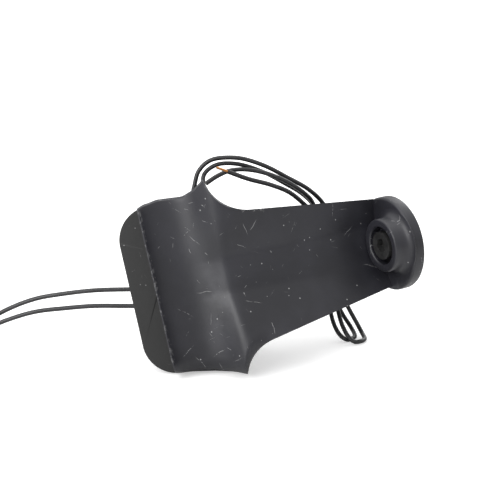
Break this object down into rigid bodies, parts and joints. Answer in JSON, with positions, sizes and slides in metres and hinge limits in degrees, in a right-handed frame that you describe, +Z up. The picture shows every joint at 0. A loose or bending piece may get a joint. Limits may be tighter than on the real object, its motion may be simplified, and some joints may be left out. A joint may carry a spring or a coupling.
{
  "type": "thumb shifter",
  "caption": "Wired thumb shifter for a round handlebar, with a saddle body, a hollow stalk and a round head that holds two push buttons.",
  "frame": {"origin": "middle of the base of the part's box, on the bench it lies on", "axes": "+X along the long side, from the plate to the head, +Z up from the bench, +Y away from the handlebar side"},
  "size_m": [0.1679, 0.0497, 0.0601],
  "materials": {
    "worn_black": "satin black moulding, scuffed and scratched",
    "plate_black": "satin black paint, scuffed",
    "housing_black": "fine matt texture",
    "gasket_rubber": "matt",
    "grommet_rubber": "matt",
    "screw_steel": "plain steel",
    "screw_black": "black oxide",
    "board_green": "solder mask",
    "terminal_green": "moulded",
    "button_grey": "fine matt texture",
    "switch_steel": "plated",
    "plunger_red": "moulded",
    "lead_red": "smooth insulation",
    "lead_black": "smooth insulation",
    "copper": "bare stranded wire",
    "plug_black": "moulded"
  },
  "bodies": {
    "base": {"saddle_shell": "worn_black", "stalk_shell": "worn_black", "mounting_plate": "plate_black", "back_housing": "housing_black", "back_cover": "housing_black", "cover_gasket": "gasket_rubber", "cover_screws": "screw_steel", "shell_screws": "screw_steel", "control_board": "board_green", "board_screws": "screw_steel", "terminal_block": "terminal_green", "left_grommets": "grommet_rubber", "loop_grommets": "grommet_rubber", "head_disc": "worn_black", "head_screw": "screw_black", "head_bezel": "housing_black", "up_switch": "switch_steel", "down_switch": "switch_steel", "switch_board": "board_green", "switch_leads": "lead_red", "upper_lead": "lead_black", "lower_lead": "lead_black", "outer_loop_lead": "lead_black", "inner_loop_lead": "lead_black", "bare_tip": "copper", "lead_plug": "plug_black"},
    "up_key": {"up_button": "button_grey", "up_plunger": "plunger_red"},
    "down_key": {"down_button": "button_grey", "down_plunger": "plunger_red"}
  },
  "joints": [
    {"name": "up_press", "type": "slide", "parent": "base", "child": "up_key", "axis": [-0.8831, -0.461, -0.0875], "range_m": [0, 0.0004], "stiffness_N_per_m": 2500, "springref_m": -0.0002},
    {"name": "down_press", "type": "slide", "parent": "base", "child": "down_key", "axis": [-0.8831, -0.461, -0.0875], "range_m": [0, 0.0004], "stiffness_N_per_m": 2500, "springref_m": -0.0002}
  ]
}
